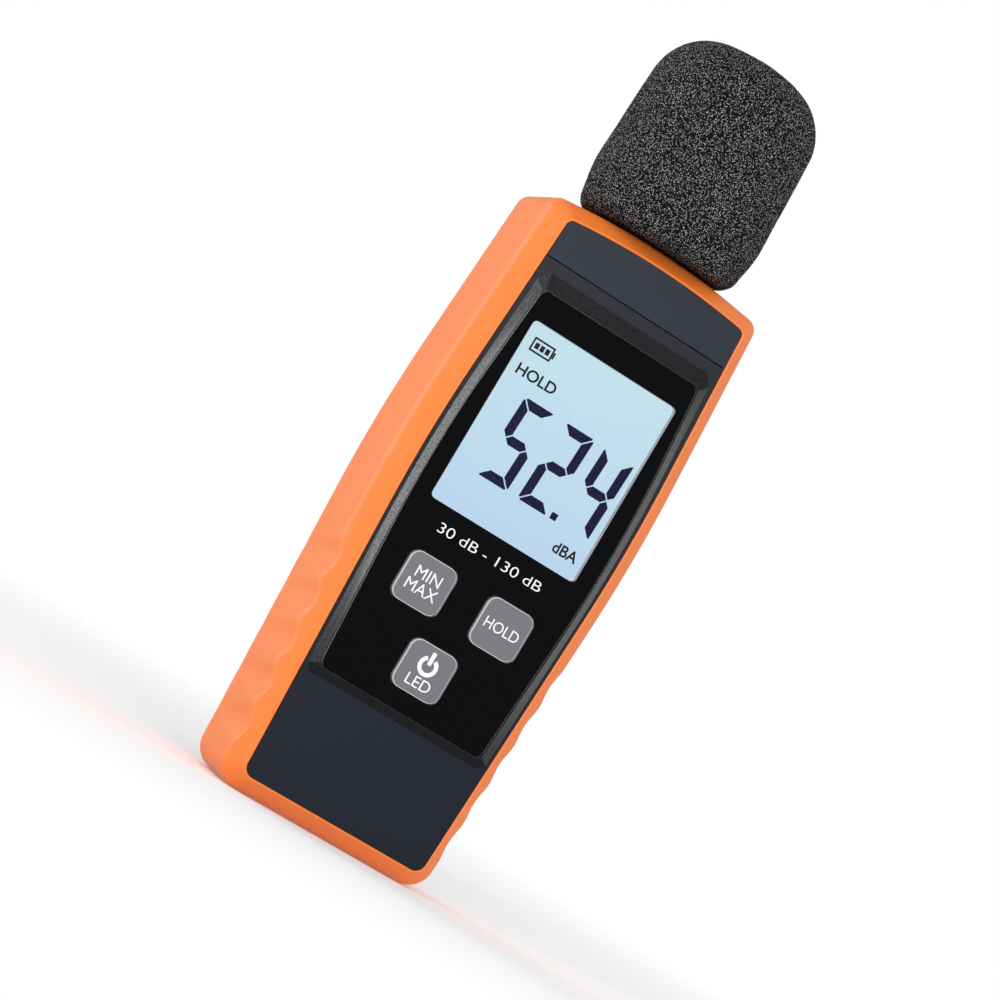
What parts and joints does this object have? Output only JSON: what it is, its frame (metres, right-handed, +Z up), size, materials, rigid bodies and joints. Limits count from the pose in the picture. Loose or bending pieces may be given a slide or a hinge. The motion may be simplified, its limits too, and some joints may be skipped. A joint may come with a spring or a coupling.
{
  "type": "sound level meter",
  "caption": "Handheld sound level meter in a rubber boot: display panel with square keys on the front, foam windscreen on top, battery door and tripod socket behind.",
  "frame": {"origin": "middle of the flat base, at mid-depth of the body", "axes": "+X to the right seen from the front, +Y from the front plate towards the back, +Z up the long axis towards the windscreen"},
  "size_m": [0.0582, 0.04, 0.1868],
  "materials": {
    "boot_rubber": "satin moulded soft rubber",
    "case_plastic": "fine moulded grain",
    "frame_plastic": "satin",
    "panel_gloss": "high gloss",
    "display_glass": "backlit liquid crystal glass",
    "light_guide": "frosted",
    "holder_plastic": "plain",
    "contact_rubber": "layered elastomer",
    "key_plastic": "satin",
    "switch_plastic": "plain",
    "plunger_plastic": "plain",
    "board_laminate": "solder resist",
    "chip_epoxy": "plain",
    "tube_metal": "black anodised",
    "capsule_metal": "drawn",
    "grille_metal": "fine",
    "wire_insulation": "smooth",
    "cell_jacket": "printed jacket with a plain band",
    "spring_steel": "nickel plated",
    "screw_steel": "dark zinc",
    "insert_brass": "turned",
    "windscreen_foam": "open-cell foam"
  },
  "bodies": {
    "case": {"rubber_boot": "boot_rubber", "front_shell": "case_plastic", "head_cap": "case_plastic", "rear_shell": "case_plastic", "bezel_frame": "frame_plastic", "display_lens": "panel_gloss", "lcd_glass": "display_glass", "lcd_holder": "holder_plastic", "zebra_connector": "contact_rubber", "backlight_panel": "light_guide", "min_max_switch": "switch_plastic", "hold_switch": "switch_plastic", "power_switch": "switch_plastic", "main_board": "board_laminate", "control_chip": "chip_epoxy", "microphone_tube": "tube_metal", "microphone_capsule": "capsule_metal", "capsule_sleeve": "contact_rubber", "microphone_grille": "grille_metal", "microphone_leads": "wire_insulation", "battery_cell_1": "cell_jacket", "battery_cell_2": "cell_jacket", "battery_cell_3": "cell_jacket", "battery_springs": "spring_steel", "battery_contacts": "spring_steel", "battery_leads": "wire_insulation", "case_screws": "screw_steel", "board_screws": "screw_steel", "tripod_insert": "insert_brass"},
    "min_max_button": {"min_max_key": "key_plastic", "min_max_plunger": "plunger_plastic"},
    "hold_button": {"hold_key": "key_plastic", "hold_plunger": "plunger_plastic"},
    "power_button": {"power_key": "key_plastic", "power_plunger": "plunger_plastic"},
    "windscreen": {"foam_windscreen": "windscreen_foam"},
    "door": {"battery_door": "case_plastic"}
  },
  "joints": [
    {"name": "min_max_press", "type": "slide", "parent": "case", "child": "min_max_button", "axis": [0, 1, 0], "range_m": [0, 0.0007]},
    {"name": "hold_press", "type": "slide", "parent": "case", "child": "hold_button", "axis": [0, 1, 0], "range_m": [0, 0.0007]},
    {"name": "power_press", "type": "slide", "parent": "case", "child": "power_button", "axis": [0, 1, 0], "range_m": [0, 0.0007]},
    {"name": "windscreen_pull", "type": "slide", "parent": "case", "child": "windscreen", "axis": [0, 0, 1], "range_m": [0, 0.032]},
    {"name": "door_hinge", "type": "hinge", "parent": "case", "child": "door", "pos_m": [0, 0.01515, 0.01865], "axis": [-1, 0, 0], "range_deg": [0, 80]}
  ]
}
